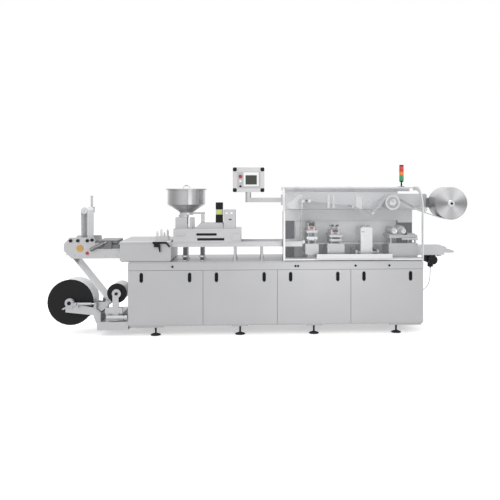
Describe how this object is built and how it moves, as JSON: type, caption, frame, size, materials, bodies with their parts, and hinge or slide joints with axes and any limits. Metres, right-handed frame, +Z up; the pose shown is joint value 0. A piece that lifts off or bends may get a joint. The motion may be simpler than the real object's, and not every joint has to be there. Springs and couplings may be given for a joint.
{
  "type": "blister packing machine",
  "caption": "Flat-plate blister packing line: film reel, forming hood, feeder with hopper, guarded sealing and punching bay, foil reel, operator panel and signal tower.",
  "frame": {"origin": "on the floor under the middle of the machine's bounding box", "axes": "+X along the line from the film reel to the outfeed, +Y from the operator side into the machine, +Z up"},
  "size_m": [4.426, 0.73, 1.7895],
  "materials": {
    "base_frame": "satin",
    "levelling_feet": "satin",
    "cabinet": "satin",
    "front_panels": "satin",
    "finger_pulls": "matte",
    "reel_stand": "satin",
    "reel_fittings": "satin",
    "film_reel": "matte",
    "film_roll": "gloss",
    "spare_reel": "matte",
    "spare_roll": "gloss",
    "guide_rollers": "satin",
    "infeed_frame": "satin",
    "infeed_knobs": "matte",
    "heater": "satin",
    "forming_housing": "satin",
    "forming_fittings": "satin",
    "forming_clamps": "matte",
    "film_web": "clear",
    "web_rails": "satin",
    "feeder_box": "satin",
    "feeder_controls": "matte",
    "hopper_base": "satin",
    "hopper": "polished",
    "hopper_lid": "polished",
    "upper_housing": "satin",
    "housing_pillars": "satin",
    "foil_beam": "satin",
    "guard_sheet": "clear",
    "guard_frame": "satin",
    "signal_tower": "gloss",
    "foil_guides": "satin",
    "foil_web": "polished",
    "foil_roll": "polished",
    "foil_hub": "polished",
    "sealing_frame": "satin",
    "sealing_plate": "satin",
    "perforation_unit": "satin",
    "traction_bed": "satin",
    "traction_carriage": "satin",
    "punch_unit": "satin",
    "outfeed": "satin",
    "outfeed_motor": "matte",
    "outfeed_cable": "matte",
    "hmi_arm": "satin",
    "hmi_case": "satin"
  },
  "bodies": {
    "machine": {"base_frame": "base_frame", "levelling_feet": "levelling_feet", "cabinet": "cabinet", "front_panels": "front_panels", "finger_pulls": "finger_pulls", "reel_stand": "reel_stand", "reel_fittings": "reel_fittings", "guide_rollers": "guide_rollers", "infeed_frame": "infeed_frame", "infeed_knobs": "infeed_knobs", "heater": "heater", "forming_housing": "forming_housing", "forming_fittings": "forming_fittings", "forming_clamps": "forming_clamps", "film_web": "film_web", "web_rails": "web_rails", "feeder_box": "feeder_box", "feeder_controls": "feeder_controls", "hopper_base": "hopper_base", "hopper": "hopper", "upper_housing": "upper_housing", "housing_pillars": "housing_pillars", "foil_beam": "foil_beam", "signal_tower": "signal_tower", "foil_guides": "foil_guides", "foil_web": "foil_web", "sealing_frame": "sealing_frame", "perforation_unit": "perforation_unit", "traction_bed": "traction_bed", "punch_unit": "punch_unit", "outfeed": "outfeed", "outfeed_motor": "outfeed_motor", "outfeed_cable": "outfeed_cable", "hmi_arm": "hmi_arm"},
    "film_reel_body": {"film_reel": "film_reel", "film_roll": "film_roll"},
    "spare_reel_body": {"spare_reel": "spare_reel", "spare_roll": "spare_roll"},
    "foil_reel_body": {"foil_hub": "foil_hub", "foil_roll": "foil_roll"},
    "guard": {"guard_sheet": "guard_sheet", "guard_frame": "guard_frame"},
    "operator_panel": {"hmi_case": "hmi_case"},
    "lid": {"hopper_lid": "hopper_lid"},
    "seal_press": {"sealing_plate": "sealing_plate"},
    "gripper": {"traction_carriage": "traction_carriage"}
  },
  "joints": [
    {"name": "film_reel_spin", "type": "hinge", "parent": "machine", "child": "film_reel_body", "pos_m": [-1.977, -0.095, 0.348], "axis": [0, 1, 0], "continuous": true},
    {"name": "spare_reel_spin", "type": "hinge", "parent": "machine", "child": "spare_reel_body", "pos_m": [-1.501, -0.135, 0.44], "axis": [0, 1, 0], "continuous": true},
    {"name": "foil_reel_spin", "type": "hinge", "parent": "machine", "child": "foil_reel_body", "pos_m": [2.037, -0.095, 1.364], "axis": [0, 1, 0], "continuous": true},
    {"name": "guard_hinge", "type": "hinge", "parent": "machine", "child": "guard", "pos_m": [0.964, 0.059, 1.532], "axis": [-1, 0, 0], "range_deg": [0, 75]},
    {"name": "operator_panel_swivel", "type": "hinge", "parent": "machine", "child": "operator_panel", "pos_m": [-0.142, 0.11, 1.475], "axis": [0, 0, 1], "range_deg": [-90, 90]},
    {"name": "hopper_lid_lift", "type": "slide", "parent": "machine", "child": "lid", "axis": [0, 0, 1], "range_m": [0, 0.15]},
    {"name": "seal_press_stroke", "type": "slide", "parent": "machine", "child": "seal_press", "axis": [0, 0, -1], "range_m": [0, 0.025]},
    {"name": "gripper_stroke", "type": "slide", "parent": "machine", "child": "gripper", "axis": [1, 0, 0], "range_m": [-0.025, 0.04]}
  ]
}
